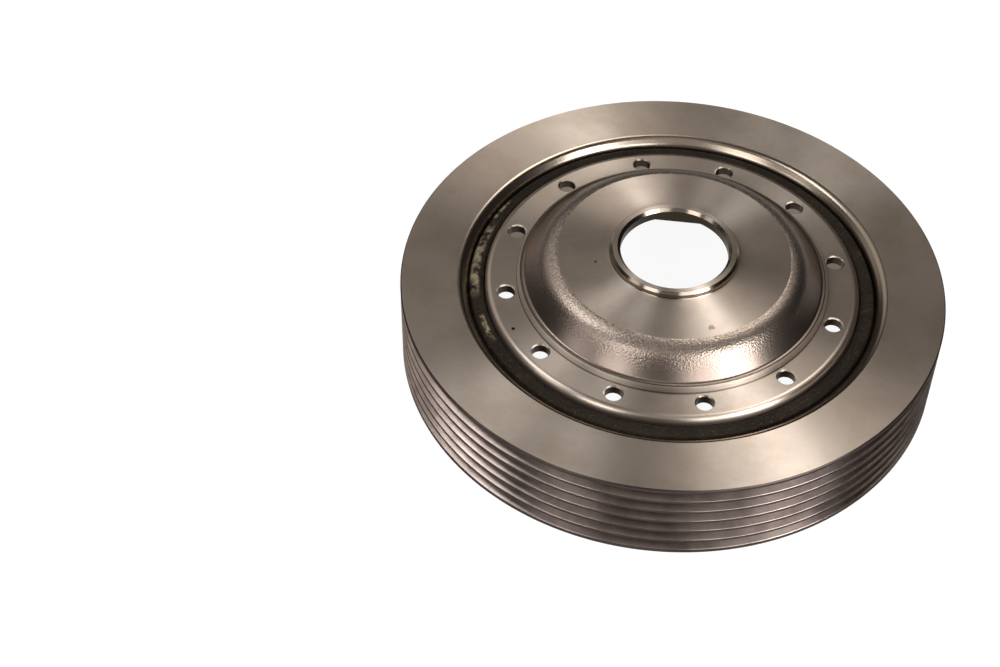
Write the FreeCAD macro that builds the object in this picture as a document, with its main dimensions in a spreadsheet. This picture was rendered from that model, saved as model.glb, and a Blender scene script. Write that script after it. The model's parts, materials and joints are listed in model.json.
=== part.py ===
"""Harmonic balancer: a pressed steel hub, a rubber ring and a grooved pulley ring.

The rear face of the pulley ring lies on z = 0 and the axis of rotation is Z, so the front,
with the dome of the hub, looks up. All sizes are in millimetres and degrees.
"""
import FreeCAD, Part
import math
import os

import Sketcher

# Driving dimensions, grouped by the piece that they shape
SIZES = [
    # Pulley ring
    ("rim_radius", 66.5, "outer radius over the ridges"),
    ("rim_wall", 16.5, "ridges to the wall that holds the rubber"),
    ("rim_edge", 0.7, "bevel round the front face"),
    ("rim_mouth", 2.0, "rounding of the bore at the front face"),
    ("rear_bevel", 1.0, "bevel of the bore at the rear face"),
    ("rear_break", 0.2, "bevel round the rear face"),
    ("groove_count", 6, "V grooves for the belt"),
    ("groove_pitch", 3.56, "groove to groove"),
    ("groove_angle", 40, "angle between the flanks of a groove"),
    ("groove_root", 0.5, "radius at the bottom of a groove"),
    ("ridge_width", 0.76, "flat top of a ridge, before its edges are rounded"),
    ("ridge_round", 0.25, "radius of the ridges' edges"),
    ("front_margin", 2.5, "front face to the middle of the first groove"),
    ("rear_margin", 2.6, "middle of the last groove to the rear face"),
    # Rubber ring
    ("rubber_wall", 4.2, "skirt to pulley ring"),
    ("rubber_front", 2.6, "front face to the rubber's edges"),
    ("rubber_rear", 1.5, "end of the skirt to the rubber's edges"),
    ("rubber_swell", 1.1, "height that the squeezed rubber bulges"),
    # Hub, pressed from plate
    ("plate", 4.2, "thickness of the plate"),
    ("dome_wall", 3.0, "thickness of the dome's flank, which the press draws out"),
    ("skirt_wall", 2.2, "thickness of the skirt"),
    ("skirt_depth", 13.0, "front face to the end of the skirt"),
    ("skirt_bend", 0.4, "radius between flange and skirt, inside"),
    ("skirt_edge", 0.5, "bevels at the end of the skirt"),
    ("dome_rise", 8.4, "height that the plate is pressed up"),
    ("flank_angle", 47, "slope of the dome's flank"),
    ("foot_bend", 1.2, "radius at the foot of the dome, front side"),
    ("crown_bend", 6.5, "radius at the shoulder of the dome, rear side"),
    # Hub, turned, bored and drilled
    ("flange_width", 7.6, "turned flange, from its step to the outside"),
    ("flange_wall", 2.4, "plate left under the flange"),
    ("flange_edge", 1.6, "radius round the flange"),
    ("step_lean", 18, "lean of the step inside the flange"),
    ("step_land", 0.1, "plate left flat between the step and the foot of the dome"),
    ("step_round", 0.2, "radius at the foot of the step"),
    ("step_edge", 0.8, "radius at the upper edge of the step"),
    ("seat_wall", 2.3, "plate left under the turned seat"),
    ("seat_cut", 0.28, "metal turned off the top of the dome for the seat"),
    ("bore_radius", 13.1, "centre bore"),
    ("bore_bevel", 0.75, "bevel at the mouth of the bore"),
    ("collar_wall", 2.5, "collar round the bore"),
    ("collar_height", 1.9, "collar above the seat"),
    ("collar_root", 0.8, "radius between collar and seat"),
    ("collar_edge", 0.6, "bevel of the collar's outer edge"),
    ("relief_step", 1.5, "relief behind the bore, past the bore's wall"),
    ("relief_depth", 1.4, "depth of the relief"),
    ("flat_step", 0.25, "flat side of the relief, past the bore's wall"),
    ("flat_angle", 75, "direction that the flat side faces"),
    ("hole_count", 12, "holes in the flange"),
    ("hole_size", 4.2, "diameter of a hole"),
    ("hole_bevel", 0.3, "bevel at the mouth of a hole"),
    ("hole_margin", 0.55, "holes to the inside of the skirt"),
]

doc = FreeCAD.newDocument("harmonic_balancer")
sheet = doc.addObject("Spreadsheet::Sheet", "sizes")
for row, (alias, number, meaning) in enumerate(SIZES, start=1):
    sheet.set(f"A{row}", meaning)
    sheet.set(f"B{row}", str(number))
    sheet.setAlias(f"B{row}", alias)
doc.recompute()

# Heights that follow from the sizes; the hub's flange is flush with the front face of the ring
GROOVES_SPAN = "(sizes.groove_count - 1) * sizes.groove_pitch"
FRONT = f"({GROOVES_SPAN} + sizes.front_margin + sizes.rear_margin)"
SKIRT_END = f"({FRONT} - sizes.skirt_depth)"
FLANGE_UNDER = f"({FRONT} - sizes.flange_wall)"
FLANGE_RAW = f"({FLANGE_UNDER} + sizes.plate)"
DOME_UNDER = f"({FLANGE_UNDER} + sizes.dome_rise)"
SEAT = f"({DOME_UNDER} + sizes.seat_wall)"
DOME_TOP = f"({SEAT} + sizes.seat_cut)"
COLLAR_TOP = f"({SEAT} + sizes.collar_height)"

# Radii that follow from the sizes, from the rim inwards
RIM_BORE = "(sizes.rim_radius - sizes.rim_wall)"
HUB_RADIUS = f"({RIM_BORE} - sizes.rubber_wall)"
SKIRT_INNER = f"({HUB_RADIUS} - sizes.skirt_wall)"
HOLE_RING = f"({SKIRT_INNER} - sizes.hole_margin - sizes.hole_size / 2)"
FLANGE_INNER = f"({HUB_RADIUS} - sizes.flange_width)"
STEP_TOP = f"({FLANGE_INNER} - (sizes.plate - sizes.flange_wall) * tan(sizes.step_lean))"
STEP_EDGE = "sizes.step_edge * tan(45 - sizes.step_lean / 2)"
FOOT_BEND = "sizes.foot_bend * tan(sizes.flank_angle / 2)"
FOOT_FRONT = f"({STEP_TOP} - {STEP_EDGE} - sizes.step_land - {FOOT_BEND})"
FLANK_WALL = "sizes.dome_wall / sin(sizes.flank_angle)"
FOOT_REAR = f"({FOOT_FRONT} - {FLANK_WALL} + sizes.plate / tan(sizes.flank_angle))"
CROWN_FRONT = f"({FOOT_FRONT} - ({DOME_TOP} - {FLANGE_RAW}) / tan(sizes.flank_angle))"
CROWN_REAR = f"({FOOT_REAR} - sizes.dome_rise / tan(sizes.flank_angle))"
COLLAR = "(sizes.bore_radius + sizes.collar_wall)"

# The V groove before its edges are rounded
GROOVE_MOUTH = "(sizes.groove_pitch - sizes.ridge_width)"
GROOVE_BOTTOM = f"(sizes.rim_radius - {GROOVE_MOUTH} / 2 / tan(sizes.groove_angle / 2))"
GROOVE_MIDDLE = f"({FRONT} - sizes.front_margin)"

# How far an outline that cuts metal away reaches past the metal
CUT_SPARE = 2.0

# How much wider the blank's boss is than the collar that is turned out of it
BOSS_SPARE = 1.0
BOSS = f"({COLLAR} + {BOSS_SPARE})"

REVOLUTION = "PartDesign::Revolution"
TURNED_CUT = "PartDesign::Groove"
FILLET = "PartDesign::Fillet"
CHAMFER = "PartDesign::Chamfer"


def value(formula):
    """The number that a formula gives with the present sizes."""
    return float(sheet.evalExpression(formula.replace("sizes.", "")))


def new_body(name):
    body = doc.addObject("PartDesign::Body", name)
    body.Label = name
    return body


def origin_feature(body, role):
    return next(item for item in body.Origin.OriginFeatures if item.Role == role)


def new_sketch(body, name, role, height=None):
    """An empty sketch on one of the body's own planes, lifted by a formula where one is given."""
    sketch = body.newObject("Sketcher::SketchObject", name)
    sketch.AttachmentSupport = [(origin_feature(body, role), "")]
    sketch.MapMode = "FlatFace"
    if height:
        sketch.setExpression("AttachmentOffset.Base.z", height)
    return sketch


def bind(sketch, kind, *where, formula):
    """Adds a constraint to the sketch and ties its value to a formula."""
    index = sketch.addConstraint(Sketcher.Constraint(kind, *where, value(formula)))
    sketch.setExpression(f"Constraints[{index}]", formula)


def join(sketch, *ends):
    """Makes two points of a sketch one; each is its line's number and 1 or 2 for start or end."""
    sketch.addConstraint(Sketcher.Constraint("Coincident", *ends))


def place_point(sketch, line, end, across, up):
    """Ties a point to its distances from the sketch's origin."""
    bind(sketch, "DistanceX", -1, 1, line, end, formula=across)
    if up == "0":
        sketch.addConstraint(Sketcher.Constraint("PointOnObject", line, end, -1))
    else:
        bind(sketch, "DistanceY", -1, 1, line, end, formula=up)


def outline(body, name, corners):
    """A closed outline of straight lines; a corner is its radius and its height, as formulas."""
    sketch = new_sketch(body, name, "XZ_Plane")
    points = [FreeCAD.Vector(value(across), value(up), 0) for across, up in corners]
    for start, stop in zip(points, points[1:] + points[:1]):
        sketch.addGeometry(Part.LineSegment(start, stop))
    for line, (across, up) in enumerate(corners):
        join(sketch, (line - 1) % len(corners), 2, line, 1)
        place_point(sketch, line, 1, across, up)
    return sketch


def turn(body, kind, name, sketch):
    """A full turn of a sketch about its vertical axis, which is the axis of rotation."""
    feature = body.newObject(kind, name)
    feature.Profile = sketch
    feature.ReferenceAxis = (sketch, ["V_Axis"])
    feature.Angle = 360
    doc.recompute()
    return feature


def rings(feature, places):
    """Names of the round edges about Z at the given radii and heights, which are formulas."""
    wanted = [(value(radius), value(height)) for radius, height in places]
    names = []
    for number, edge in enumerate(feature.Shape.Edges, start=1):
        curve = edge.Curve
        if not isinstance(curve, Part.Circle) or math.hypot(curve.Center.x, curve.Center.y) > 0.001:
            continue
        for radius, height in wanted:
            if abs(curve.Radius - radius) < 0.001 and abs(curve.Center.z - height) < 0.001:
                names.append(f"Edge{number}")
    if len(names) != len(wanted):
        raise RuntimeError(f"{feature.Name}: found {len(names)} of {len(wanted)} edges")
    return names


def dress(body, kind, name, size, places):
    """Rounds or bevels the body's round edges at the given places by a size, which is a formula."""
    base = body.Tip
    feature = body.newObject(kind, name)
    feature.Base = (base, rings(base, places))
    feature.setExpression("Radius" if kind == FILLET else "Size", size)
    doc.recompute()


def build_pulley_ring():
    """The heavy ring: a turned blank with V grooves, then its rounded and bevelled edges."""
    body = new_body("pulley_ring")
    blank = outline(body, "ring_outline", [
        (RIM_BORE, "0"),
        ("sizes.rim_radius", "0"),
        ("sizes.rim_radius", FRONT),
        (RIM_BORE, FRONT),
    ])
    turn(body, REVOLUTION, "ring_blank", blank)

    beyond = f"sizes.rim_radius + {CUT_SPARE}"
    half_mouth = f"({GROOVE_MOUTH} / 2 + {CUT_SPARE} * tan(sizes.groove_angle / 2))"
    vee = outline(body, "groove_outline", [
        (GROOVE_BOTTOM, GROOVE_MIDDLE),
        (beyond, f"{GROOVE_MIDDLE} - {half_mouth}"),
        (beyond, f"{GROOVE_MIDDLE} + {half_mouth}"),
    ])
    first = turn(body, TURNED_CUT, "first_groove", vee)
    grooves = body.newObject("PartDesign::LinearPattern", "belt_grooves")
    grooves.Originals = [first]
    grooves.Direction = (origin_feature(body, "Z_Axis"), [""])
    grooves.Reversed = True
    grooves.setExpression("Length", GROOVES_SPAN)
    grooves.setExpression("Occurrences", "sizes.groove_count")
    body.Tip = grooves
    doc.recompute()

    count = int(value("sizes.groove_count"))
    middles = [f"{GROOVE_MIDDLE} - {step} * sizes.groove_pitch" for step in range(count)]
    roots = [(GROOVE_BOTTOM, middle) for middle in middles]
    sides = [f"{middle} {sign} {GROOVE_MOUTH} / 2" for middle in middles for sign in "+-"]
    ridges = [("sizes.rim_radius", side) for side in sides]
    dress(body, FILLET, "groove_roots", "sizes.groove_root", roots)
    dress(body, FILLET, "ridge_edges", "sizes.ridge_round", ridges)
    dress(body, CHAMFER, "front_bevel", "sizes.rim_edge", [("sizes.rim_radius", FRONT)])
    dress(body, FILLET, "bore_mouth", "sizes.rim_mouth", [(RIM_BORE, FRONT)])
    dress(body, CHAMFER, "rear_bore_bevel", "sizes.rear_bevel", [(RIM_BORE, "0")])
    dress(body, CHAMFER, "rear_bevel", "sizes.rear_break", [("sizes.rim_radius", "0")])
    return body


def build_rubber_ring():
    """The rubber, squeezed between skirt and ring so that it swells out at the front and the rear."""
    body = new_body("rubber_ring")
    sketch = new_sketch(body, "rubber_outline", "XZ_Plane")
    rear = f"{SKIRT_END} + sizes.rubber_rear"
    front = f"{FRONT} - sizes.rubber_front"
    corners = [(HUB_RADIUS, rear), (RIM_BORE, rear), (RIM_BORE, front), (HUB_RADIUS, front)]
    points = [FreeCAD.Vector(value(across), value(up), 0) for across, up in corners]
    swell = FreeCAD.Vector(0, value("sizes.rubber_swell"), 0)
    sketch.addGeometry(Part.Arc(points[0], (points[0] + points[1]) / 2 - swell, points[1]))
    sketch.addGeometry(Part.LineSegment(points[1], points[2]))
    sketch.addGeometry(Part.Arc(points[2], (points[2] + points[3]) / 2 + swell, points[3]))
    sketch.addGeometry(Part.LineSegment(points[3], points[0]))
    crown = "(sizes.rubber_wall^2 / 4 + sizes.rubber_swell^2) / (2 * sizes.rubber_swell)"
    for line in (0, 2):
        bind(sketch, "Radius", line, formula=crown)
    for line in (1, 3):
        place_point(sketch, line, 1, *corners[line])
        place_point(sketch, line, 2, *corners[(line + 1) % 4])
        join(sketch, line - 1, 2, line, 1)
        join(sketch, line, 2, (line + 1) % 4, 1)
    turn(body, REVOLUTION, "rubber_blank", sketch)
    return body


def press_hub(body):
    """The hub's blank: plate pressed into a dome with a boss, a flange and a skirt, with its bends."""
    blank = outline(body, "pressed_outline", [
        ("sizes.bore_radius", DOME_UNDER),
        (CROWN_REAR, DOME_UNDER),
        (FOOT_REAR, FLANGE_UNDER),
        (SKIRT_INNER, FLANGE_UNDER),
        (SKIRT_INNER, SKIRT_END),
        (HUB_RADIUS, SKIRT_END),
        (HUB_RADIUS, FLANGE_RAW),
        (FOOT_FRONT, FLANGE_RAW),
        (CROWN_FRONT, DOME_TOP),
        (BOSS, DOME_TOP),
        (BOSS, COLLAR_TOP),
        ("sizes.bore_radius", COLLAR_TOP),
    ])
    turn(body, REVOLUTION, "pressed_blank", blank)
    dress(body, FILLET, "foot_front", "sizes.foot_bend", [(FOOT_FRONT, FLANGE_RAW)])
    dress(body, FILLET, "foot_rear", "sizes.foot_bend + sizes.dome_wall", [(FOOT_REAR, FLANGE_UNDER)])
    crown_outside = "sizes.crown_bend + sizes.dome_wall"
    dress(body, FILLET, "crown_front", crown_outside, [(CROWN_FRONT, DOME_TOP)])
    dress(body, FILLET, "crown_rear", "sizes.crown_bend", [(CROWN_REAR, DOME_UNDER)])
    dress(body, FILLET, "skirt_corner", "sizes.skirt_bend", [(SKIRT_INNER, FLANGE_UNDER)])


def turn_hub(body):
    """The turned faces: the flange with the step inside it, the seat, the collar and their edges."""
    beyond = f"{HUB_RADIUS} + {CUT_SPARE}"
    above = f"({COLLAR_TOP} + {CUT_SPARE})"
    flange = outline(body, "flange_outline", [
        (FLANGE_INNER, FRONT),
        (beyond, FRONT),
        (beyond, above),
        (f"{FLANGE_INNER} - ({above} - {FRONT}) * tan(sizes.step_lean)", above),
    ])
    turn(body, TURNED_CUT, "turned_flange", flange)
    seat = outline(body, "seat_outline", [
        (COLLAR, SEAT),
        (FOOT_FRONT, SEAT),
        (FOOT_FRONT, above),
        (COLLAR, above),
    ])
    turn(body, TURNED_CUT, "turned_seat", seat)

    dress(body, FILLET, "flange_rim", "sizes.flange_edge", [(HUB_RADIUS, FRONT)])
    dress(body, FILLET, "step_foot", "sizes.step_round", [(FLANGE_INNER, FRONT)])
    dress(body, FILLET, "step_rim", "sizes.step_edge", [(STEP_TOP, FLANGE_RAW)])
    # The collar's root radius needs a wall to end on, so it is held under four fifths of the wall's height
    collar_root = "min(sizes.collar_root; 0.8 * (sizes.collar_height - sizes.collar_edge))"
    dress(body, FILLET, "collar_foot", collar_root, [(COLLAR, SEAT)])
    dress(body, CHAMFER, "collar_rim", "sizes.collar_edge", [(COLLAR, COLLAR_TOP)])
    dress(body, CHAMFER, "bore_mouth", "sizes.bore_bevel", [("sizes.bore_radius", COLLAR_TOP)])
    skirt_ends = [(SKIRT_INNER, SKIRT_END), (HUB_RADIUS, SKIRT_END)]
    dress(body, CHAMFER, "skirt_bevels", "sizes.skirt_edge", skirt_ends)


def drill_hub(body):
    """A bevelled hole through the flange on +X, repeated round the axis."""
    sketch = new_sketch(body, "hole_place", "XY_Plane", FRONT)
    centre = FreeCAD.Vector(value(HOLE_RING), 0, 0)
    sketch.addGeometry(Part.Circle(centre, FreeCAD.Vector(0, 0, 1), value("sizes.hole_size / 2")))
    place_point(sketch, 0, 3, HOLE_RING, "0")
    bind(sketch, "Radius", 0, formula="sizes.hole_size / 2")
    doc.recompute()
    hole = body.newObject("PartDesign::Hole", "flange_hole")
    hole.Profile = sketch
    doc.recompute()
    hole.DepthType = "ThroughAll"
    hole.HoleCutType = "Countersink"
    hole.HoleCutCustomValues = True
    hole.HoleCutCountersinkAngle = 90
    hole.setExpression("Diameter", "sizes.hole_size")
    hole.setExpression("HoleCutDiameter", "sizes.hole_size + 2 * sizes.hole_bevel")
    doc.recompute()
    holes = body.newObject("PartDesign::PolarPattern", "flange_holes")
    holes.Originals = [hole]
    holes.Axis = (origin_feature(body, "Z_Axis"), [""])
    holes.Angle = 360
    holes.setExpression("Occurrences", "sizes.hole_count")
    body.Tip = holes
    doc.recompute()


def relieve_bore(body):
    """The shallow relief behind the bore: round, with one flat side that keys the hub."""
    radius = "(sizes.bore_radius + sizes.relief_step)"
    flat = "(sizes.bore_radius + sizes.flat_step)"
    facing = math.radians(value("sizes.flat_angle"))
    half = math.acos(value(flat) / value(radius))
    circle = Part.Circle(FreeCAD.Vector(), FreeCAD.Vector(0, 0, 1), value(radius))
    arc = Part.ArcOfCircle(circle, facing + half, facing - half + 2 * math.pi)
    sketch = new_sketch(body, "relief_outline", "XY_Plane", DOME_UNDER)
    sketch.addGeometry(arc)
    sketch.addGeometry(Part.LineSegment(arc.EndPoint, arc.StartPoint))
    join(sketch, 0, 3, -1, 1)
    join(sketch, 0, 2, 1, 1)
    join(sketch, 1, 2, 0, 1)
    bind(sketch, "Radius", 0, formula=radius)
    bind(sketch, "Distance", -1, 1, 1, formula=flat)
    slope = sketch.addConstraint(Sketcher.Constraint("Angle", 1, facing + math.pi / 2))
    sketch.setExpression(f"Constraints[{slope}]", "(sizes.flat_angle + 90) * 1 deg")
    doc.recompute()
    pocket = body.newObject("PartDesign::Pocket", "bore_relief")
    pocket.Profile = sketch
    pocket.Reversed = True
    pocket.setExpression("Length", "sizes.relief_depth")
    doc.recompute()


def build_hub():
    """The hub, made in the order of the real one: pressed, turned, drilled and relieved."""
    body = new_body("hub")
    press_hub(body)
    turn_hub(body)
    drill_hub(body)
    relieve_bore(body)
    return body


def check(bodies):
    """Stops the build where a feature failed, a cut removed nothing or a piece isn't one sound solid."""
    for item in doc.Objects:
        if "Invalid" in item.State or "Error" in item.State:
            raise RuntimeError(f"{item.Name} failed: {item.State}")
        if item.TypeId == "Sketcher::SketchObject" and item.solve() != 0:
            raise RuntimeError(f"{item.Name} does not solve")
        if item.TypeId in (TURNED_CUT, "PartDesign::Pocket", "PartDesign::Hole"):
            if item.Shape.Volume >= item.BaseFeature.Shape.Volume:
                raise RuntimeError(f"{item.Name} cuts nothing")
    for body in bodies:
        if body.Shape.isNull() or not body.Shape.isValid() or len(body.Shape.Solids) != 1:
            raise RuntimeError(f"{body.Label} is not one valid solid")


pieces = [build_hub(), build_rubber_ring(), build_pulley_ring()]
doc.recompute()
check(pieces)
os.makedirs("parts", exist_ok=True)
for piece in pieces:
    piece.Shape.exportStep(f"parts/{piece.Label}.step")
    print(f"{piece.Label}: {piece.Shape.Volume / 1000:.1f} cm3, {len(piece.Shape.Faces)} faces")
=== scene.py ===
"""Looks of the harmonic balancer: pressed and turned steel hub, squeezed rubber ring, grooved ring."""
import json
import math

import bmesh
import bpy
import numpy as np
from mathutils import Matrix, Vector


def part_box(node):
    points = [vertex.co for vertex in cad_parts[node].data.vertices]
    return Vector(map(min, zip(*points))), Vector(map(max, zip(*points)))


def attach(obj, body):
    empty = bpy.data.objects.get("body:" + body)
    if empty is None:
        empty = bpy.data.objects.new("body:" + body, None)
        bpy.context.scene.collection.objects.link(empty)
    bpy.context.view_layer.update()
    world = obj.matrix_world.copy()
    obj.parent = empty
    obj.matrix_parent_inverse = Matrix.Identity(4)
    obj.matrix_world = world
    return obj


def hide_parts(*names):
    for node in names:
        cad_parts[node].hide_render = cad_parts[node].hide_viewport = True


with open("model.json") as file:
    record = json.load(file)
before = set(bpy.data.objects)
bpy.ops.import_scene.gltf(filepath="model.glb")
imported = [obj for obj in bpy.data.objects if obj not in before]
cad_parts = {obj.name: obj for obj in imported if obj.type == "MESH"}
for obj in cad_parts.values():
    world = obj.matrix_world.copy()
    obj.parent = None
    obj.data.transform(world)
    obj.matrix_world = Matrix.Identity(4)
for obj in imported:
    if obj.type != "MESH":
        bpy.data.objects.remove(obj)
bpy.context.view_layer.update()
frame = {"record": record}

# The camera stands as it does in the photograph: half way up the sky above the part, and turned so that the
# part sits right of the middle of the picture. Its distance and height are in rim radii.
MM = 0.001
ring_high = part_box("pulley_ring")[1]
RIM = ring_high.x
FACE = ring_high.z
EYE_BEARING = math.radians(-105.03)
EYE_REACH = 4.971 * RIM
EYE_RISE = 5.026 * RIM
EYE_TILT = math.radians(42.70)
EYE_TURN = math.radians(-7.74)
EYE_ROLL = math.radians(0.60)
LENS = 68.74
SENSOR = 36.0
NEAREST = 10 * MM

camera = bpy.data.objects.new("camera", bpy.data.cameras.new("camera"))
bpy.context.scene.collection.objects.link(camera)
camera.data.lens = LENS
camera.data.sensor_width = SENSOR
camera.data.clip_start = NEAREST
place = Matrix.Translation((
    EYE_REACH * math.cos(EYE_BEARING),
    EYE_REACH * math.sin(EYE_BEARING),
    FACE + EYE_RISE,
))
aim = Matrix.Rotation(EYE_TURN, 4, "Z") @ Matrix.Rotation(EYE_TILT, 4, "X")
camera.matrix_world = place @ aim @ Matrix.Rotation(EYE_ROLL, 4, "Z")
bpy.context.scene.camera = camera
bpy.context.scene.view_settings.view_transform = "Standard"


# The studio: five soft boxes stand round the part and look at it, two on the camera's right and three on
# its left. Each has a bearing and a height above the horizon in degrees, a width, a height and a radiance.
LAMP_DISTANCE = 0.75
LAMP_WHITE = (1.0, 0.96, 0.91)
LAMPS = {
    "lamp_right": (310, 34, 0.24, 0.36, 11.0),
    "lamp_front": (290, 34, 0.36, 0.36, 4.6),
    "lamp_left": (221.5, 40, 0.24, 0.34, 4.4),
    "lamp_low_left": (192, 32, 0.20, 0.30, 2.0),
    "lamp_far_left": (163, 56, 0.24, 0.32, 4.4),
}


def soft_box(name, bearing, rise, width, height, radiance):
    """A rectangular lamp on a sphere round the part. Its power is its radiance times pi times its area."""
    lamp = bpy.data.lights.new(name, "AREA")
    lamp.shape = "RECTANGLE"
    lamp.size = width
    lamp.size_y = height
    lamp.energy = radiance * math.pi * width * height
    lamp.color = LAMP_WHITE
    holder = bpy.data.objects.new(name, lamp)
    bpy.context.scene.collection.objects.link(holder)
    sideways = Matrix.Rotation(math.radians(bearing + 90), 4, "Z")
    upwards = Matrix.Rotation(math.radians(90 - rise), 4, "X")
    holder.matrix_world = sideways @ upwards @ Matrix.Translation((0, 0, LAMP_DISTANCE))


for lamp_name, settings in LAMPS.items():
    soft_box(lamp_name, *settings)

# The room is dark, with four soft windows that the metal mirrors. Each has a bearing and a height above the
# horizon in degrees, a radiance, and the cosine of the angle from its middle at which it has faded out.
ROOM_COLOUR = (1.0, 0.91, 0.82)
ROOM_DARK = 0.02
ROOM_WINDOWS = [(43, 62, 6.0, 0.965), (127, 36, 0.75, 0.85), (257, 62, 0.5, 0.85), (60, 52, 0.15, 0.88)]
NUMBER_OPERATIONS = ("DISTANCE", "DOT_PRODUCT", "LENGTH")


def add_node(tree, kind, **settings):
    """A new node; a setting named after an input sets that input's value, any other sets a property."""
    node = tree.nodes.new(kind)
    for key, setting in settings.items():
        if hasattr(node, key):
            setattr(node, key, setting)
        else:
            node.inputs[key.replace("_", " ")].default_value = setting
    return node


def arithmetic(tree, kind, operation, *terms):
    """One step of arithmetic, of the kind Math or VectorMath, on values and outputs of other nodes."""
    node = add_node(tree, "ShaderNode" + kind, operation=operation)
    for socket, term in zip(node.inputs, terms):
        if isinstance(term, bpy.types.NodeSocket):
            tree.links.new(term, socket)
        else:
            socket.default_value = term
    gives_number = kind == "Math" or operation in NUMBER_OPERATIONS
    return node.outputs["Value" if gives_number else "Vector"]


def ramp(tree, value, start, end, low=0.0, high=1.0, kind="SMOOTHSTEP"):
    """Goes from low to high while the value goes from start to end, and stays there beyond. The smooth kind
    takes three times the square of the way less twice its cube, and the linear kind the way itself."""
    node = add_node(
        tree, "ShaderNodeMapRange", interpolation_type=kind,
        From_Min=start, From_Max=end, To_Min=low, To_Max=high,
    )
    tree.links.new(value, node.inputs["Value"])
    return node.outputs["Result"]


world = bpy.data.worlds.new("room")
bpy.context.scene.world = world
world.use_nodes = True
room = world.node_tree
walls = room.nodes["Background"]
walls.inputs["Color"].default_value = (*ROOM_COLOUR, 1)
looking = add_node(room, "ShaderNodeTexCoord").outputs["Generated"]
light = ROOM_DARK
for window_bearing, window_rise, radiance, faded in ROOM_WINDOWS:
    bearing = math.radians(window_bearing)
    rise = math.radians(window_rise)
    window = (math.cos(rise) * math.cos(bearing), math.cos(rise) * math.sin(bearing), math.sin(rise))
    facing = arithmetic(room, "VectorMath", "DOT_PRODUCT", looking, window)
    light = arithmetic(room, "Math", "ADD", light, ramp(room, facing, faded, 1.0, high=radiance))
room.links.new(light, walls.inputs["Strength"])

# The floor is a sheet of white paper, which the metal mirrors too. It looks white by a glow of its own and
# takes little of the lamps' light, so that shadows stay soft; further from the part it is greyer.
FLOOR_HALF = 3.0
FLOOR_GAP = 0.02 * MM
FLOOR_GLOW = 0.93
FLOOR_WHITE = 0.14
FLOOR_FAR = 0.30
FLOOR_NEAR_REACH = 0.45
FLOOR_FAR_REACH = 0.9


def place_on(tree):
    """Where a point of the piece lies, in metres from the origin."""
    return add_node(tree, "ShaderNodeTexCoord").outputs["Object"]


def white_paper():
    """Matt paper plus a glow that only the camera and mirrors see: the greatest of Is Camera Ray, Is Glossy
    Ray and Is Transmission Ray, times a level that falls with the distance from the part."""
    material = bpy.data.materials.new("white_paper")
    material.use_nodes = True
    tree = material.node_tree
    tree.nodes.clear()
    ray = add_node(tree, "ShaderNodeLightPath").outputs
    mirrored = arithmetic(tree, "Math", "MAXIMUM", ray["Is Glossy Ray"], ray["Is Transmission Ray"])
    seen = arithmetic(tree, "Math", "MAXIMUM", ray["Is Camera Ray"], mirrored)
    reach = arithmetic(tree, "VectorMath", "LENGTH", place_on(tree))
    level = ramp(tree, reach, FLOOR_NEAR_REACH, FLOOR_FAR_REACH, low=FLOOR_GLOW, high=FLOOR_FAR)
    glow = add_node(tree, "ShaderNodeEmission", Color=(1, 1, 1, 1))
    matt = add_node(tree, "ShaderNodeBsdfDiffuse", Color=(FLOOR_WHITE, FLOOR_WHITE, FLOOR_WHITE, 1))
    both = add_node(tree, "ShaderNodeAddShader")
    out = add_node(tree, "ShaderNodeOutputMaterial")
    tree.links.new(arithmetic(tree, "Math", "MULTIPLY", seen, level), glow.inputs["Strength"])
    tree.links.new(glow.outputs[0], both.inputs[0])
    tree.links.new(matt.outputs[0], both.inputs[1])
    tree.links.new(both.outputs[0], out.inputs["Surface"])
    return material


floor_mesh = bpy.data.meshes.new("floor")
floor_corners = FLOOR_HALF * np.array([(-1, -1, 0), (1, -1, 0), (1, 1, 0), (-1, 1, 0)]) - (0, 0, FLOOR_GAP)
floor_mesh.from_pydata(floor_corners.tolist(), [], [(0, 1, 2, 3)])
floor = bpy.data.objects.new("floor", floor_mesh)
bpy.context.scene.collection.objects.link(floor)
floor.data.materials.append(white_paper())


# The pulley ring is a heavy iron ring, turned all over, with six V grooves for the belt. Its front face
# is fine turned and the mouth of its bore is satin. Its ridges' lands and lower sides, its rim's bevel and
# its rear are painted very dark, as painted shade for the shadowed floor that they mirror.
COLUMNS = 360
GROOVES = 6
PITCH = 3.56 * MM
FIRST_GROOVE = 2.5 * MM
RIDGE = 0.76 * MM
GROOVE_HALF_ANGLE = math.radians(20)
GROOVE_ROOT = 0.5 * MM
RIDGE_ROUND = 0.2 * MM
RIM_BEVEL = 0.4 * MM
MOUTH = 2.0 * MM
MOUTH_BEND = 2.2 * MM
REAR_BEVEL = 1.0 * MM
EDGE = 0.12 * MM
BEND_STEPS = 6
FLAT_SPARE = 0.04 * MM
SAME_PLACE = 0.0001 * MM
rubber_low, rubber_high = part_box("rubber_ring")
RIM_BORE = rubber_high.x


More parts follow.
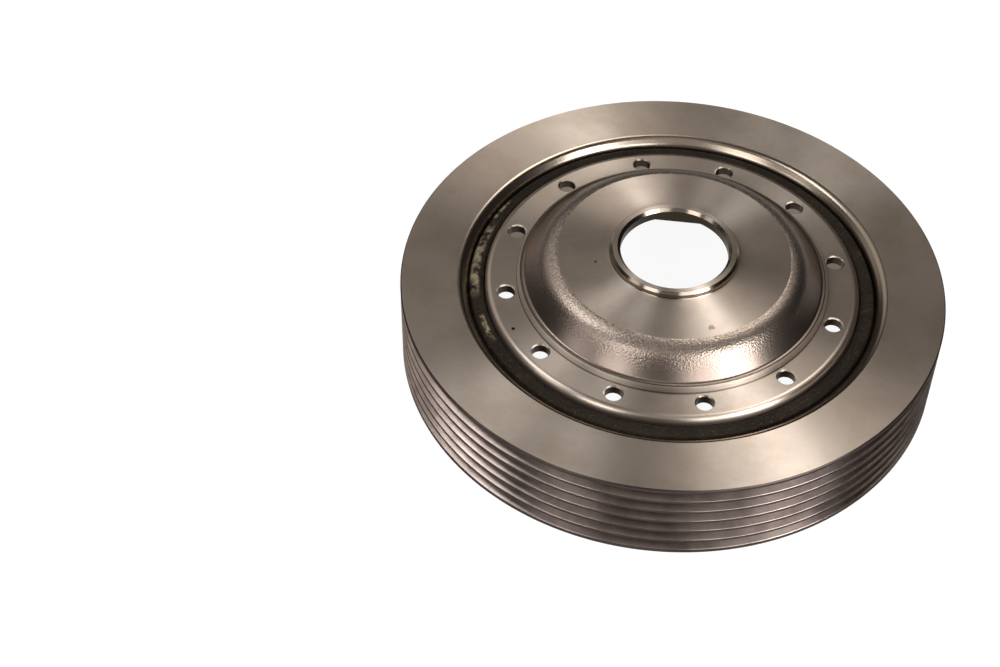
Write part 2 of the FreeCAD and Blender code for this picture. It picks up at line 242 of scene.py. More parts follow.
def rounded_profile(corners, spare=FLAT_SPARE):
    """The points of a section. Each corner is (radius, height, rounding): an arc of that rounding touches
    both sides of the corner, as far from it as the rounding divided by the tangent of half the corner's
    angle. A point just outside each end of the arc keeps the sides flat in shading."""
    shape = np.array(corners, float)
    before = np.roll(shape, 1, axis=0)[:, :2] - shape[:, :2]
    after = np.roll(shape, -1, axis=0)[:, :2] - shape[:, :2]
    before = before / np.linalg.norm(before, axis=1)[:, None]
    after = after / np.linalg.norm(after, axis=1)[:, None]
    turn = np.arccos(np.clip((before * after).sum(1), -1, 1))
    tangent = shape[:, 2] / np.tan(turn / 2)
    bisector = before + after
    bisector = bisector / np.linalg.norm(bisector, axis=1)[:, None]
    centre = shape[:, :2] + bisector * (shape[:, 2] / np.sin(turn / 2))[:, None]
    first = shape[:, :2] + before * tangent[:, None] - centre
    last = shape[:, :2] + after * tangent[:, None] - centre
    share = np.linspace(0, 1, BEND_STEPS + 1)[None, :, None]
    angle = (math.pi - turn)[:, None, None]
    from_first = np.sin((1 - share) * angle) * first[:, None]
    from_last = np.sin(share * angle) * last[:, None]
    arc = (from_first + from_last) / np.sin(angle)
    lead_in = shape[:, :2] + before * (tangent + spare)[:, None]
    lead_out = shape[:, :2] + after * (tangent + spare)[:, None]
    points = np.concatenate([lead_in[:, None], centre[:, None] + arc, lead_out[:, None]], axis=1)
    return points.reshape(-1, 2)


def spin(profile, angles):
    """A section turned about Z: the point (r, z) at the angle a is (r cos a, r sin a, z)."""
    radius, height = profile[:, 0, None], profile[:, 1, None]
    return np.stack(np.broadcast_arrays(radius * np.cos(angles), radius * np.sin(angles), height), axis=-1)


def grid_faces(rows, columns, wrap_rows, wrap_columns, start=0):
    """The squares of a grid whose point in row r and column c has the number start plus r times the columns
    plus c. A wrapped direction joins its last line to its first."""
    row = np.arange(rows if wrap_rows else rows - 1)[:, None]
    column = np.arange(columns if wrap_columns else columns - 1)[None, :]
    next_row = (row + 1) % rows
    next_column = (column + 1) % columns
    faces = np.stack(np.broadcast_arrays(
        row * columns + column,
        row * columns + next_column,
        next_row * columns + next_column,
        next_row * columns + column,
    ), axis=-1)
    return faces.reshape(-1, 4) + start


def mesh_piece(name, points, faces, node):
    """A smooth piece from its points and faces; doubles are merged and the faces turned outwards."""
    mesh = bpy.data.meshes.new(name)
    mesh.from_pydata(points.reshape(-1, 3).tolist(), [], faces.tolist())
    work = bmesh.new()
    work.from_mesh(mesh)
    bmesh.ops.remove_doubles(work, verts=work.verts, dist=SAME_PLACE)
    bmesh.ops.recalc_face_normals(work, faces=work.faces)
    work.to_mesh(mesh)
    work.free()
    mesh.polygons.foreach_set("use_smooth", np.ones(len(mesh.polygons), bool))
    piece = bpy.data.objects.new(name, mesh)
    bpy.context.scene.collection.objects.link(piece)
    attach(piece, "root")
    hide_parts(node)
    return piece


def face_vectors(mesh, name):
    """The middle or the normal of every face, as rows of x, y and z."""
    values = np.empty(len(mesh.polygons) * 3)
    mesh.polygons.foreach_get(name, values)
    return values.reshape(-1, 3)


def groove_corners(middle):
    """Corners of one V groove, from its front side to its rear side. Its depth is half its width divided by
    the tangent of its half angle."""
    half = (PITCH - RIDGE) / 2
    depth = half / math.tan(GROOVE_HALF_ANGLE)
    return [
        (RIM, middle + half, RIDGE_ROUND),
        (RIM - depth, middle, GROOVE_ROOT),
        (RIM, middle - half, RIDGE_ROUND),
    ]


ring_corners = [
    (RIM_BORE, FACE - MOUTH, MOUTH_BEND),
    (RIM_BORE + MOUTH, FACE, MOUTH_BEND),
    (RIM - RIM_BEVEL, FACE, EDGE),
    (RIM, FACE - RIM_BEVEL, EDGE),
]
for groove in range(GROOVES):
    ring_corners += groove_corners(FACE - FIRST_GROOVE - groove * PITCH)
ring_corners += [(RIM, 0, 2 * EDGE), (RIM_BORE + REAR_BEVEL, 0, EDGE), (RIM_BORE, REAR_BEVEL, EDGE)]
around = np.arange(COLUMNS) * 2 * math.pi / COLUMNS
ring_section = rounded_profile(ring_corners)
ring_points = spin(ring_section, around)
ring_faces = grid_faces(len(ring_section), COLUMNS, True, True)
pulley = mesh_piece("pulley", ring_points, ring_faces, "pulley_ring")

METAL = (0.54, 0.48, 0.43)
STAIN = (0.45, 0.39, 0.335)
FRECKLE = (0.36, 0.29, 0.23)
GROOVE_SIDE = (0.50, 0.425, 0.40)
GROOVE_STAIN = (0.26, 0.21, 0.20)
# Painted shade: the iron of the ridges' lands and lower sides is kept very dark, for the shadowed floor.
RIDGE_SHADE_IRON = (0.085, 0.067, 0.064)
RIDGE_STAIN = (0.06, 0.047, 0.042)
MOUTH_IRON = (0.36, 0.31, 0.26)
QUARTER_TURN = 0.25
FINE_WAVER = 0.4 * MM
WIDE_WAVER = 0.6 * MM


def flat_place(tree):
    """Where a point of the piece lies seen along the axis: its place times (1, 1, 0)."""
    return arithmetic(tree, "VectorMath", "MULTIPLY", place_on(tree), (1, 1, 0))


def axis_distance(tree):
    """How far a point of the piece lies from the axis: the length of its flat place."""
    return arithmetic(tree, "VectorMath", "LENGTH", flat_place(tree))


def noise(tree, point, scale, detail, roughness=0.5):
    """Clouds of noise from about zero to one, as many in a metre as the scale says."""
    node = add_node(tree, "ShaderNodeTexNoise", Scale=scale, Detail=detail, Roughness=roughness)
    tree.links.new(point, node.inputs["Vector"])
    return node.outputs["Fac"]


def metal(name, colour, roughness, anisotropy, lean=0.0, edge=1.0):
    """A metal whose highlight is drawn out across the turning marks, which run along the cross product of Z
    and the place. The normal leans outwards by a share of the radial direction, as the flanks of a tool's
    feed marks do. An edge below one dulls what the metal mirrors at a grazing look, as an oil film does."""
    material = bpy.data.materials.new(name)
    material.use_nodes = True
    tree = material.node_tree
    shader = tree.nodes["Principled BSDF"]
    shader.inputs["Base Color"].default_value = (*colour, 1)
    shader.inputs["Metallic"].default_value = 1
    shader.inputs["Roughness"].default_value = roughness
    shader.inputs["Anisotropic"].default_value = anisotropy
    shader.inputs["Anisotropic Rotation"].default_value = QUARTER_TURN
    shader.inputs["Specular Tint"].default_value = (edge, edge, edge, 1)
    if anisotropy:
        turning = arithmetic(tree, "VectorMath", "CROSS_PRODUCT", (0, 0, 1), place_on(tree))
        tree.links.new(turning, shader.inputs["Tangent"])
    if lean:
        upright = add_node(tree, "ShaderNodeNewGeometry").outputs["Normal"]
        outward = arithmetic(tree, "VectorMath", "NORMALIZE", flat_place(tree))
        tilted = arithmetic(tree, "VectorMath", "MULTIPLY_ADD", outward, (lean, lean, lean), upright)
        tree.links.new(arithmetic(tree, "VectorMath", "NORMALIZE", tilted), shader.inputs["Normal"])
    return material, tree


def bump(tree, height, depth):
    """Raises the surface by a height map times a depth; a second call lies on top of the first."""
    normal = tree.nodes["Principled BSDF"].inputs["Normal"]
    node = add_node(tree, "ShaderNodeBump", Strength=1.0, Distance=depth)
    tree.links.new(height, node.inputs["Height"])
    if normal.is_linked:
        tree.links.new(normal.links[0].from_socket, node.inputs["Normal"])
    tree.links.new(node.outputs["Normal"], normal)


def turning_marks(tree, per_mm, waver, depth):
    """Raises the marks of a lathe tool: noise that changes fast with radius and height and hardly round the
    axis, because it is read at the point (radius, height, waver times a slow noise)."""
    slow = noise(tree, place_on(tree), scale=30.0, detail=1.0)
    point = add_node(tree, "ShaderNodeCombineXYZ")
    split = add_node(tree, "ShaderNodeSeparateXYZ")
    tree.links.new(place_on(tree), split.inputs[0])
    tree.links.new(axis_distance(tree), point.inputs["X"])
    tree.links.new(split.outputs["Z"], point.inputs["Y"])
    tree.links.new(arithmetic(tree, "Math", "MULTIPLY", slow, waver), point.inputs["Z"])
    bump(tree, noise(tree, point.outputs[0], per_mm / MM, detail=3.0, roughness=0.7), depth)


def tint(tree, mask, colour):
    """Slides the base colour to another by a mask from zero to one; a second call lies over the first."""
    base = tree.nodes["Principled BSDF"].inputs["Base Color"]
    mix = add_node(tree, "ShaderNodeMix", data_type="RGBA")
    if base.is_linked:
        tree.links.new(base.links[0].from_socket, mix.inputs["A"])
    else:
        mix.inputs["A"].default_value = base.default_value
    mix.inputs["B"].default_value = (*colour, 1)
    tree.links.new(mask, mix.inputs["Factor"])
    tree.links.new(mix.outputs["Result"], base)


def stains(tree, colour, scale, low, high):
    """Cloudy stains: the base colour slides to this one where a soft noise rises from low to high."""
    cloud = noise(tree, place_on(tree), scale, detail=5.0, roughness=0.65)
    tint(tree, ramp(tree, cloud, low, high, kind="LINEAR"), colour)


def turned_face_metal():
    """Fine turned iron with drawn-out highlights, cloudy stains and a fine mottling."""
    material, tree = metal("turned_face", METAL, roughness=0.50, anisotropy=0.97, lean=0.13)
    turning_marks(tree, per_mm=4.0, waver=WIDE_WAVER, depth=0.006 * MM)
    stains(tree, STAIN, scale=60.0, low=0.42, high=0.64)
    stains(tree, FRECKLE, scale=700.0, low=0.60, high=0.95)
    return material


def groove_metal():
    """The turned upper sides of the ridges, a little darker than the face."""
    material, tree = metal("groove_metal", GROOVE_SIDE, roughness=0.28, anisotropy=0.88, edge=0.4)
    turning_marks(tree, per_mm=6.0, waver=WIDE_WAVER, depth=0.008 * MM)
    stains(tree, GROOVE_STAIN, scale=90.0, low=0.4, high=0.7)
    return material


def mouth_metal():
    """The satin rounding of the bore's mouth."""
    material, tree = metal("mouth_metal", MOUTH_IRON, roughness=0.22, anisotropy=0.0)
    turning_marks(tree, per_mm=5.0, waver=FINE_WAVER, depth=0.003 * MM)
    return material


def ridge_metal():
    """Painted shade: dark turned iron for the ridges' lands and lower sides, the rim's bevel and the rear.
    """
    material, tree = metal("ridge_metal", RIDGE_SHADE_IRON, roughness=0.42, anisotropy=0.7, edge=0.4)
    turning_marks(tree, per_mm=6.0, waver=WIDE_WAVER, depth=0.008 * MM)
    stains(tree, RIDGE_STAIN, scale=90.0, low=0.4, high=0.7)
    return material


# Each face of the ring gets its material by the place of its middle and by how far it looks up
FACE_ZONE, GROOVE_ZONE, MOUTH_ZONE, RIDGE_SHADE_ZONE = range(4)
BELT_DEPTH = 5.0 * MM
FACE_SKIN = 0.5 * MM
BEVEL_TOP = 0.2 * RIM_BEVEL
MOUTH_WIDTH = 1.3 * MOUTH
LOOKS_UP = 0.6
for material in (turned_face_metal(), groove_metal(), mouth_metal(), ridge_metal()):
    pulley.data.materials.append(material)
middle = face_vectors(pulley.data, "center")
radius = np.hypot(middle[:, 0], middle[:, 1])
height = middle[:, 2]
looks_up = face_vectors(pulley.data, "normal")[:, 2] >= LOOKS_UP
# Painted shade: the rim's lands, lower sides and bevel, and the rear, get the dark iron; upward sides
# don't.
on_rim = (radius > RIM - RIM_BEVEL) & (height < FACE - BEVEL_TOP)
on_rim |= (radius > RIM - BELT_DEPTH) & (height < FACE - FACE_SKIN)
zone = np.full(len(radius), FACE_ZONE, np.int32)
zone[on_rim] = RIDGE_SHADE_ZONE
zone[on_rim & looks_up & (height < FACE - RIM_BEVEL)] = GROOVE_ZONE
zone[radius < RIM_BORE + MOUTH_WIDTH] = MOUTH_ZONE
zone[height < REAR_BEVEL] = RIDGE_SHADE_ZONE
pulley.data.polygons.foreach_set("material_index", zone)


# The rubber ring is one moulded ring, squeezed between hub and pulley ring, so that its front and rear
# swell between them. Its front has a fine seam and lies against both metals along a dark line.
RUBBER_SIDE = 20.3 * MM
RUBBER_SKEW = 0.76
SWELL_POINTS = 49
SEAM = 0.6
SEAM_WIDTH = 0.12 * MM
SEAM_DEPTH = 0.1 * MM
SEAM_REACH = 0.08
SEAM_POINTS = 17
HUB_GAP = (0.22 * MM, 0.5 * MM)
RING_GAP = (0.42 * MM, 1.2 * MM)
hub_low, hub_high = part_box("hub")
HUB_RADIUS = hub_high.x


def bell(distance, width):
    """A bell curve: e to the power of minus the square of the distance over the width."""
    return np.exp(-((distance / width) ** 2))


def swollen(across, side, peak, seam_depth):
    """Height of the swollen end at a share across from hub to ring: a circle's low arc through both sides
    and the peak, with the peak drawn towards the hub, less a bell curve at each side and a fine seam."""
    width = RIM_BORE - HUB_RADIUS
    rise = abs(peak - side)
    sphere = (width * width / 4 + rise * rise) / (2 * rise)
    arc = np.sqrt(sphere * sphere - ((across ** RUBBER_SKEW - 0.5) * width) ** 2) - (sphere - rise)
    gap = HUB_GAP[1] * bell(across * width, HUB_GAP[0])
    gap += RING_GAP[1] * bell((1 - across) * width, RING_GAP[0])
    seam = seam_depth * bell((across - SEAM) * width, SEAM_WIDTH)
    return side + math.copysign(1, peak - side) * (arc - gap - seam)


share = 0.5 - 0.5 * np.cos(np.linspace(0, math.pi, SWELL_POINTS))
share = np.unique(np.concatenate([share, SEAM + np.linspace(-SEAM_REACH, SEAM_REACH, SEAM_POINTS)]))
front_side = swollen(share, RUBBER_SIDE, rubber_high.z, SEAM_DEPTH)
rear_side = swollen(share, rubber_low.z + rubber_high.z - RUBBER_SIDE, rubber_low.z, 0.0)
across = HUB_RADIUS + share * (RIM_BORE - HUB_RADIUS)
rubber_section = np.concatenate([np.stack([across, front_side], 1), np.stack([across, rear_side], 1)[::-1]])
rubber_faces = grid_faces(len(rubber_section), COLUMNS, True, True)
rubber = mesh_piece("rubber", spin(rubber_section, around), rubber_faces, "rubber_ring")

RUBBER_BLACK = (0.006, 0.0048, 0.004)
RUBBER_SHEEN = (1.0, 0.84, 0.70)
RUBBER_DUST = (0.017, 0.013, 0.010)
RUBBER_SPECK = (0.075, 0.060, 0.048)
DRIED_DIRT = (0.22, 0.19, 0.13)
SMEAR_FULL_WIDTH = 0.4
SMEAR_FULL_LENGTH = 0.6
SMEAR_PATCHES = (0.42, 0.58)


def smear(tree, radius, half_width, bearing, half_length, scale):
    """A ragged smear of dried dirt along the turning direction, where the distance from the axis is within
    half a width of the radius, the bearing is within half a length of the smear's, both in degrees, and a
    noise is high. The bearings are compared by the dot product of their directions."""
    off = arithmetic(tree, "Math", "SUBTRACT", axis_distance(tree), radius)
    apart = arithmetic(tree, "Math", "ABSOLUTE", off)
    near = ramp(tree, apart, half_width, SMEAR_FULL_WIDTH * half_width)
    outward = arithmetic(tree, "VectorMath", "NORMALIZE", flat_place(tree))
    middle = (math.cos(math.radians(bearing)), math.sin(math.radians(bearing)), 0)
    facing = arithmetic(tree, "VectorMath", "DOT_PRODUCT", outward, middle)
    end = math.radians(half_length)
    along = ramp(tree, facing, math.cos(end), math.cos(SMEAR_FULL_LENGTH * end))
    cloud = noise(tree, place_on(tree), scale, detail=4.0, roughness=0.65)
    patches = ramp(tree, cloud, *SMEAR_PATCHES, kind="LINEAR")
    inside = arithmetic(tree, "Math", "MULTIPLY", near, along)
    tint(tree, arithmetic(tree, "Math", "MULTIPLY", inside, patches), DRIED_DIRT)


def moulded_rubber():
    """Matt black rubber with a rough grain, dusty where a soft noise is high, and three smears of dirt."""
    material = bpy.data.materials.new("moulded_rubber")
    material.use_nodes = True
    tree = material.node_tree
    shader = tree.nodes["Principled BSDF"]
    shader.inputs["Base Color"].default_value = (*RUBBER_BLACK, 1)
    shader.inputs["Roughness"].default_value = 0.62
    shader.inputs["Specular IOR Level"].default_value = 0.25
    shader.inputs["Specular Tint"].default_value = (*RUBBER_SHEEN, 1)
    bump(tree, noise(tree, place_on(tree), scale=1800.0, detail=3.0), depth=0.30 * MM)
    stains(tree, RUBBER_DUST, scale=160.0, low=0.45, high=0.75)
    stains(tree, RUBBER_SPECK, scale=1500.0, low=0.58, high=0.72)
    smear(tree, radius=48.4 * MM, half_width=1.5 * MM, bearing=163, half_length=17, scale=330.0)
    smear(tree, radius=48.9 * MM, half_width=0.8 * MM, bearing=141, half_length=5, scale=700.0)
    smear(tree, radius=48.0 * MM, half_width=0.8 * MM, bearing=192, half_length=6, scale=700.0)
    return material


rubber.data.materials.append(moulded_rubber())


# The hub is pressed from 4.2 mm steel plate into a dome, a flange and a skirt. Then the flange, the seat on
# the dome and the collar round the bore are turned, and twelve bevelled holes go through the flange.
mounts = {mount["name"]: mount for mount in frame["record"]["mounts"]}
BORE = mounts["crank_bore"]["dims"]["r_mm"] * MM
BORE_BEVEL = 0.75 * MM
COLLAR = BORE + 2.5 * MM
COLLAR_TOP = mounts["collar_face"]["pos_m"][2]
COLLAR_ROOT = 0.8 * MM
COLLAR_EDGE = 0.6 * MM
HOLES = mounts["flange_holes"]["dims"]["count"]
HOLE = mounts["flange_holes"]["dims"]["hole_r_mm"] * MM
HOLE_RING = mounts["flange_holes"]["dims"]["pcd_mm"] / 2 * MM
HOLE_BEVEL = 0.3 * MM
HOLE_MARGIN = 0.05 * MM
HOLE_UNDER_MARGIN = 0.15 * MM
HOLE_BEVEL_ROUND = 0.02 * MM
HOLE_WALL_ROUND = 0.03 * MM
HOLE_UNDER_ROUND = 0.05 * MM
HOLE_SPARE = 0.015 * MM
PLATE = 4.2 * MM
DOME_UNDER = mounts["hub_rear_seat"]["pos_m"][2]
SEAT = DOME_UNDER + 2.3 * MM
SEAT_CUT = 0.28 * MM
SEAT_EDGE_BEND = 3.0 * MM
FLANGE = FACE
FLANGE_UNDER = FLANGE - 2.4 * MM
FLANGE_INNER = HUB_RADIUS - 7.6 * MM
FLANGE_EDGE = 1.6 * MM
STEP_HEIGHT = FLANGE_UNDER + PLATE
STEP_LEAN = math.radians(18)
STEP_TOP = FLANGE_INNER - (STEP_HEIGHT - FLANGE) * math.tan(STEP_LEAN)
STEP_EDGE = 0.8 * MM
STEP_FOOT = 0.2 * MM
STEP_LAND = 0.1 * MM
SKIRT_INNER = HUB_RADIUS - 2.2 * MM
SKIRT_BEVEL = 0.5 * MM
SKIRT_BEND = 0.4 * MM
FLANK = math.radians(47)
FOOT_BEND = 1.2 * MM
WALL = 3.0 * MM
CROWN_BEND = 6.5 * MM
CROWN_SPARE = 0.2 * MM
RELIEF = BORE + 1.5 * MM
RELIEF_DEPTH = 1.4 * MM
RELIEF_FLAT = BORE + 0.25 * MM
RELIEF_FACING = math.radians(75)
RELIEF_SLACK = 0.01 * MM
RELIEF_NEAR = RELIEF + 0.5 * MM
FLAT_ROUND = 0.06 * MM
TOP_BAND = (FLANGE_INNER + 0.3 * MM, HUB_RADIUS - 2.0 * MM)
UNDER_BAND = (SKIRT_INNER - 5.1 * MM, SKIRT_INNER - 0.45 * MM)
BAND_POINTS = 8
BAND_SHARES = (0, 0.3, 0.65, 1)

# The foot, the crown and the edge of the seat follow from the step, the plate and the slope of the flank
half_slope = math.tan(FLANK / 2)
step_reach = STEP_EDGE * math.tan(math.radians(45) - STEP_LEAN / 2)
FOOT = STEP_TOP - step_reach - STEP_LAND - FOOT_BEND * half_slope
foot_rear = FOOT - WALL / math.sin(FLANK) + PLATE / math.tan(FLANK)
crown_rear = foot_rear - (DOME_UNDER - FLANGE_UNDER) / math.tan(FLANK)
dome_top = SEAT + SEAT_CUT
crown_radius = CROWN_BEND + WALL
crown_middle = FOOT - (dome_top - STEP_HEIGHT) / math.tan(FLANK) - crown_radius * half_slope
seat_slope = math.acos(1 - (dome_top - SEAT) / crown_radius)
seat_edge = crown_middle + crown_radius * math.sin(seat_slope)
crown_reach = crown_radius * math.tan((FLANK - seat_slope) / 2)
crown_corner = (seat_edge + crown_reach * math.cos(seat_slope), SEAT - crown_reach * math.sin(seat_slope))
seat_bend_reach = SEAT_EDGE_BEND * math.tan(seat_slope / 2)
crown_round = crown_radius * (1 - seat_bend_reach / crown_reach) - CROWN_SPARE


def open_profile(corners, spare=FLAT_SPARE):
    """A section that isn't closed: its first and last corners stay, and those between are rounded."""
    ends = np.array(corners, float)[[0, -1], :2]
    middle = rounded_profile(corners, spare).reshape(len(corners), -1, 2)[1:-1].reshape(-1, 2)
    return np.concatenate([ends[:1], middle, ends[1:]])


dome_section = open_profile([
    (TOP_BAND[0], FLANGE, 0),
    (FLANGE_INNER, FLANGE, STEP_FOOT),
    (STEP_TOP, STEP_HEIGHT, STEP_EDGE),
    (FOOT, STEP_HEIGHT, FOOT_BEND),
    (*crown_corner, crown_round),
    (seat_edge, SEAT, SEAT_EDGE_BEND),
    (COLLAR, SEAT, COLLAR_ROOT),
    (COLLAR, COLLAR_TOP - COLLAR_EDGE, FLAT_ROUND),
    (COLLAR - COLLAR_EDGE, COLLAR_TOP, FLAT_ROUND),
    (BORE + BORE_BEVEL, COLLAR_TOP, FLAT_ROUND),
    (BORE, COLLAR_TOP - BORE_BEVEL, FLAT_ROUND),
    (BORE, DOME_UNDER + RELIEF_DEPTH, FLAT_ROUND),
    (RELIEF, DOME_UNDER + RELIEF_DEPTH, FLAT_ROUND),
    (RELIEF, DOME_UNDER, FLAT_ROUND),
    (crown_rear, DOME_UNDER, CROWN_BEND),
    (foot_rear, FLANGE_UNDER, FOOT_BEND + WALL),
    (UNDER_BAND[0], FLANGE_UNDER, 0),
])
skirt_section = open_profile([
    (UNDER_BAND[1], FLANGE_UNDER, 0),
    (SKIRT_INNER, FLANGE_UNDER, SKIRT_BEND),
    (SKIRT_INNER, hub_low.z + SKIRT_BEVEL, FLAT_ROUND),
    (SKIRT_INNER + SKIRT_BEVEL, hub_low.z, FLAT_ROUND),
    (HUB_RADIUS - SKIRT_BEVEL, hub_low.z, FLAT_ROUND),
    (HUB_RADIUS, hub_low.z + SKIRT_BEVEL, FLAT_ROUND),
    (HUB_RADIUS, FLANGE, FLANGE_EDGE),
    (TOP_BAND[1], FLANGE, 0),
])


def relieved(points):
    """Moves the relief's rows in to its flat side: a row's radius drops by the flat's depth at that
    bearing, times how far across the relief's step the row lies."""
    radius = np.hypot(points[..., 0], points[..., 1])
    bearing = np.arctan2(points[..., 1], points[..., 0]) - RELIEF_FACING
    facing = np.maximum(np.cos(bearing), RELIEF_FLAT / RELIEF)
    depth = RELIEF - np.minimum(RELIEF, RELIEF_FLAT / facing)
    low = points[..., 2] < DOME_UNDER + RELIEF_DEPTH + RELIEF_SLACK
    near = radius < RELIEF_NEAR
    share = np.clip((radius - BORE) / (RELIEF - BORE), 0, 1) * (low & near)
    moved = points.copy()
    moved[..., :2] *= ((radius - depth * share) / radius)[..., None]
    return moved


def pierced_sector(band, height, hole_radius):
    """One twelfth of a flat ring with its hole: rings of points that pass from the sector's border, walked
    once round, to a circle about the hole's middle, at bearings halfway between even steps and the border's
    own. A ring is the border times one less its share, plus the circle times its share."""
    half = math.pi / HOLES
    turn = np.linspace(-half, half, COLUMNS // HOLES + 1)
    side = np.linspace(band[0], band[1], BAND_POINTS)
    inner = np.stack([band[0] * np.cos(turn), band[0] * np.sin(turn)], 1)[:-1]
    outer = np.stack([band[1] * np.cos(turn), band[1] * np.sin(turn)], 1)[::-1][:-1]
    left = np.stack([side * math.cos(half), side * math.sin(half)], 1)[:-1]
    right = np.stack([side * math.cos(half), -side * math.sin(half)], 1)[::-1][:-1]
    border = np.concatenate([inner, left, outer, right])
    own = np.unwrap(np.arctan2(border[:, 1], border[:, 0] - HOLE_RING))
    even = own[0] + math.copysign(2 * math.pi, own[-1] - own[0]) * np.arange(len(border)) / len(border)
    bearing = (own + even) / 2
    circle = np.stack([HOLE_RING + hole_radius * np.cos(bearing), hole_radius * np.sin(bearing)], 1)
    share = np.array(BAND_SHARES)[:, None, None]
    flat = border[None] * (1 - share) + circle[None] * share
    return np.concatenate([flat, np.full((*flat.shape[:2], 1), height)], axis=-1), bearing


hole_section = open_profile([
    (HOLE + HOLE_BEVEL + HOLE_MARGIN, FLANGE, 0),
    (HOLE + HOLE_BEVEL, FLANGE, HOLE_BEVEL_ROUND),
    (HOLE, FLANGE - HOLE_BEVEL, HOLE_WALL_ROUND),
    (HOLE, FLANGE_UNDER, HOLE_UNDER_ROUND),
    (HOLE + HOLE_UNDER_MARGIN, FLANGE_UNDER, 0),
], HOLE_SPARE)
top_patch, top_bearing = pierced_sector(TOP_BAND, FLANGE, HOLE + HOLE_BEVEL + HOLE_MARGIN)
under_patch, under_bearing = pierced_sector(UNDER_BAND, FLANGE_UNDER, HOLE + HOLE_UNDER_MARGIN)
down = np.linspace(0, 1, len(hole_section))[:, None]
wall_bearing = top_bearing * (1 - down) + under_bearing * down
hole_wall = np.stack([
    HOLE_RING + hole_section[:, :1] * np.cos(wall_bearing),
    hole_section[:, :1] * np.sin(wall_bearing),
    np.broadcast_to(hole_section[:, 1:], wall_bearing.shape),
], axis=-1)
sector = np.concatenate([top_patch, hole_wall[1:-1], under_patch[::-1]])


def turned_copies(points, copies):
    """The same points turned about Z by even steps: a turn by the angle a takes the place (x, y) to the
    place (x cos a - y sin a, x sin a + y cos a)."""
    turn = np.arange(copies)[:, None, None] * 2 * math.pi / copies
    x, y, z = points[..., 0], points[..., 1], points[..., 2]
    return np.stack(np.broadcast_arrays(
        x * np.cos(turn) - y * np.sin(turn),
        x * np.sin(turn) + y * np.cos(turn),
        z,
    ), axis=-1)


grids = [relieved(spin(section, around - math.pi / HOLES)) for section in (dome_section, skirt_section)]
grids += list(turned_copies(sector, HOLES))
parts = []
faces = []
count = 0
for grid in grids:
    faces.append(grid_faces(grid.shape[0], grid.shape[1], False, True, count))
    parts.append(grid.reshape(-1, 3))
    count += len(parts[-1])
hub = mesh_piece("hub_body", np.concatenate(parts), np.concatenate(faces), "hub")

PRESSED = (0.225, 0.183, 0.163)
PRESSED_STAIN = (0.19, 0.155, 0.135)
# The flank's colour turns lighter towards the seat.
SEAT_SIDE_PALE = (0.54, 0.475, 0.42)
PITTED = (0.26, 0.215, 0.19)
ROLLED = (0.50, 0.44, 0.39)
COLLAR_BRIGHT = (0.28, 0.235, 0.20)
# Painted shade: the bore, its relief and the holes are painted very dark for the shade inside them.
HOLLOW_SHADE = (0.045, 0.034, 0.021)
PUNCHED = (0.02, 0.016, 0.012)
SCUFFED = (0.22, 0.18, 0.15)
OLD_STAIN = (0.28, 0.23, 0.19)
# Painted shade: a thin dark line in the step's foot and one at its top edge.
STEP_SHADE_LINE = (0.20, 0.165, 0.14)
FOOT_SHADE_LINE = (0.10, 0.08, 0.065)
PUNCH_PLACE = (-40.84 * MM, -12.48 * MM, FLANGE)
SCUFF_PLACE = (-19.4 * MM, -0.6 * MM, SEAT)
OLD_STAIN_PLACE = (4.0 * MM, -25.3 * MM, SEAT)
MARK_GRAINS = 1.5
MARK_FULL = 0.6
LINE_FULL = 0.3
PITS = (0.36, 0.66)
PRESSED_SMOOTH = 0.28
PRESSED_ROUGH = 0.37
GRAIN_LEFT = 0.15
GRAIN_START = FOOT - 1.0 * MM
GRAIN_FULL = seat_edge + 4.5 * MM
PALE_START = seat_edge + 5.0 * MM


def mark(tree, colour, middle, size, ragged):
    """A ragged round mark: the base colour slides to this one where the distance from the mark's middle,
    plus a share of a fine noise, falls below its size."""
    apart = arithmetic(tree, "VectorMath", "DISTANCE", place_on(tree), middle)
    grain = noise(tree, place_on(tree), scale=MARK_GRAINS / size, detail=3.0)
    uneven = arithmetic(tree, "Math", "MULTIPLY_ADD", grain, 2 * ragged * size, apart)
    inside = ramp(tree, uneven, size * (1 + ragged), size * (MARK_FULL + ragged), kind="LINEAR")
    tint(tree, inside, colour)


def ring_line(tree, colour, radius, width):
    """A thin line all round the axis: the base colour slides to this one where the distance from the axis
    differs from the line's radius by less than its width."""
    off = arithmetic(tree, "Math", "SUBTRACT", axis_distance(tree), radius)
    apart = arithmetic(tree, "Math", "ABSOLUTE", off)
    tint(tree, ramp(tree, apart, width, LINE_FULL * width), colour)


def turned_steel():
    """Fine turned steel of the flange, the step and the seat, with a punch mark, a scuff, an old stain, and
    a thin line of painted shade at each side of the step."""
    material, tree = metal("turned_steel", METAL, roughness=0.50, anisotropy=0.97, lean=0.13)
    turning_marks(tree, per_mm=5.0, waver=WIDE_WAVER, depth=0.006 * MM)
    stains(tree, STAIN, scale=75.0, low=0.45, high=0.70)
    stains(tree, FRECKLE, scale=800.0, low=0.60, high=0.95)
    mark(tree, PUNCHED, PUNCH_PLACE, size=0.55 * MM, ragged=0.1)
    mark(tree, SCUFFED, SCUFF_PLACE, size=0.5 * MM, ragged=0.8)
    mark(tree, OLD_STAIN, OLD_STAIN_PLACE, size=0.9 * MM, ragged=0.9)
    # Painted shade along the step's two edges.
    ring_line(tree, STEP_SHADE_LINE, radius=FLANGE_INNER - 0.1 * MM, width=0.12 * MM)
    ring_line(tree, FOOT_SHADE_LINE, radius=FOOT + 0.75 * MM, width=0.20 * MM)
    return material


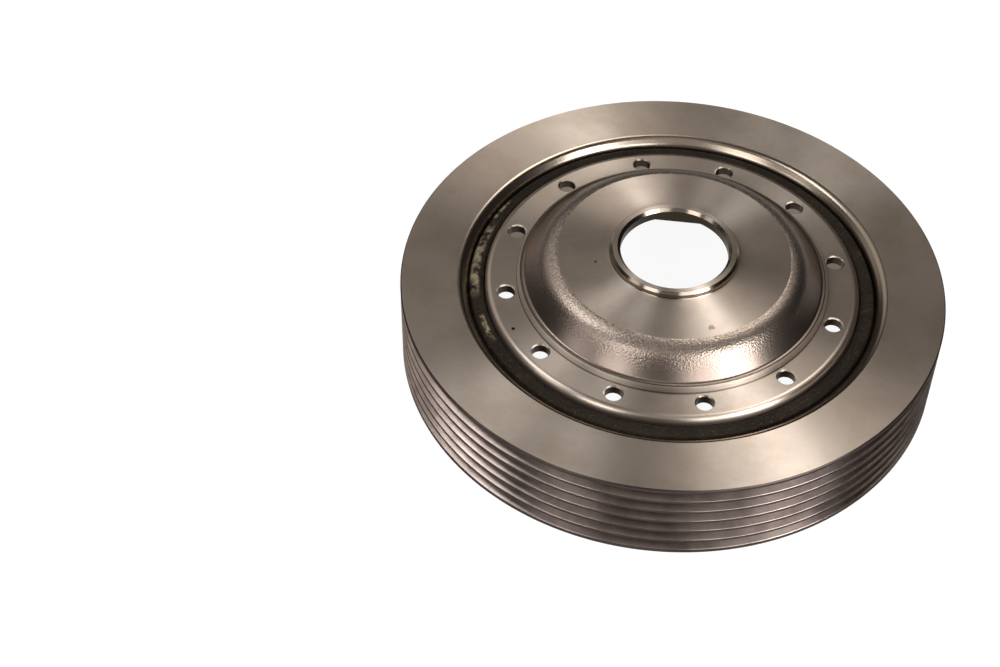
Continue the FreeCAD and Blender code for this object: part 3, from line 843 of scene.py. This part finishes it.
def pressed_steel():
    """Pressed steel with brownish clouds. Up the flank, where the plate is stretched most, it gets the fine
    grain and the pits of orange peel, and towards the seat it is lighter in colour and a little rougher."""
    material, tree = metal("pressed_steel", PRESSED, roughness=PRESSED_SMOOTH, anisotropy=0.0, edge=0.55)
    shader = tree.nodes["Principled BSDF"]
    reach = axis_distance(tree)
    rough = ramp(tree, reach, GRAIN_FULL, seat_edge, low=PRESSED_SMOOTH, high=PRESSED_ROUGH)
    tree.links.new(rough, shader.inputs["Roughness"])
    stretched = ramp(tree, reach, GRAIN_START, GRAIN_FULL, low=GRAIN_LEFT)
    peel = noise(tree, place_on(tree), scale=2300.0, detail=1.0, roughness=0.4)
    bump(tree, arithmetic(tree, "Math", "MULTIPLY", peel, stretched), depth=0.07 * MM)
    stains(tree, PRESSED_STAIN, scale=120.0, low=0.45, high=0.75)
    tint(tree, ramp(tree, reach, PALE_START, seat_edge), SEAT_SIDE_PALE)
    speckle = noise(tree, place_on(tree), scale=2200.0, detail=1.0)
    pits = ramp(tree, speckle, *PITS, kind="LINEAR")
    tint(tree, arithmetic(tree, "Math", "MULTIPLY", pits, stretched), PITTED)
    return material


def collar_steel():
    """Bright finely turned steel of the collar."""
    material, tree = metal("collar_steel", COLLAR_BRIGHT, roughness=0.18, anisotropy=0.6)
    turning_marks(tree, per_mm=6.0, waver=FINE_WAVER, depth=0.003 * MM)
    return material


def bore_steel():
    """Steel of the bore, its relief and the holes, painted very dark as the shade inside them."""
    material, tree = metal("bore_steel", HOLLOW_SHADE, roughness=0.38, anisotropy=0.5)
    turning_marks(tree, per_mm=4.0, waver=FINE_WAVER, depth=0.006 * MM)
    return material


def rolled_steel():
    """The satin steel of the flange's rounded edge, its highlight drawn out across the turning marks."""
    material, tree = metal("rolled_steel", ROLLED, roughness=0.32, anisotropy=0.80, edge=0.45)
    turning_marks(tree, per_mm=5.0, waver=FINE_WAVER, depth=0.003 * MM)
    return material


# Each face of the hub gets its material by the place of its middle, and a later line overrules an earlier
# one. The slacks set a limit just off a surface, so that all faces of the surface lie on one side of it.
TURNED_ZONE, PRESSED_ZONE, COLLAR_ZONE, BORE_ZONE, EDGE_ZONE = range(5)
FLAT_SLACK = 0.02 * MM
WALL_SLACK = 0.05 * MM
EDGE_SLACK = 0.1 * MM
SEAT_SKIN = 0.3 * MM
COLLAR_START = SEAT + 0.3 * COLLAR_ROOT
HOLE_START = FLANGE - 0.8 * HOLE_BEVEL
PRESSED_END = FOOT + 0.55 * MM
for material in (turned_steel(), pressed_steel(), collar_steel(), bore_steel(), rolled_steel()):
    hub.data.materials.append(material)
middle = face_vectors(hub.data, "center")
radius = np.hypot(middle[:, 0], middle[:, 1])
height = middle[:, 2]
under_seat = height < SEAT - SEAT_SKIN
above_flange_under = height > FLANGE_UNDER + FLAT_SLACK
in_hole = (np.abs(radius - HOLE_RING) < HOLE + EDGE_SLACK) & (height < HOLE_START)
zone = np.full(len(radius), TURNED_ZONE, np.int32)
zone[(radius < PRESSED_END) & (radius > seat_edge)] = PRESSED_ZONE
zone[radius > HUB_RADIUS - FLANGE_EDGE] = EDGE_ZONE
zone[(height > COLLAR_START) & (height < COLLAR_TOP - FLAT_SLACK) & (radius > BORE)] = COLLAR_ZONE
zone[(radius < BORE + WALL_SLACK) & (height > DOME_UNDER)] = BORE_ZONE
zone[~above_flange_under & (radius < HUB_RADIUS - EDGE_SLACK)] = PRESSED_ZONE
zone[under_seat & (radius < seat_edge) & (radius > BORE + WALL_SLACK)] = PRESSED_ZONE
zone[under_seat & (radius < RELIEF + EDGE_SLACK) & (height > DOME_UNDER - WALL_SLACK)] = BORE_ZONE
zone[in_hole & above_flange_under] = BORE_ZONE
hub.data.polygons.foreach_set("material_index", zone)
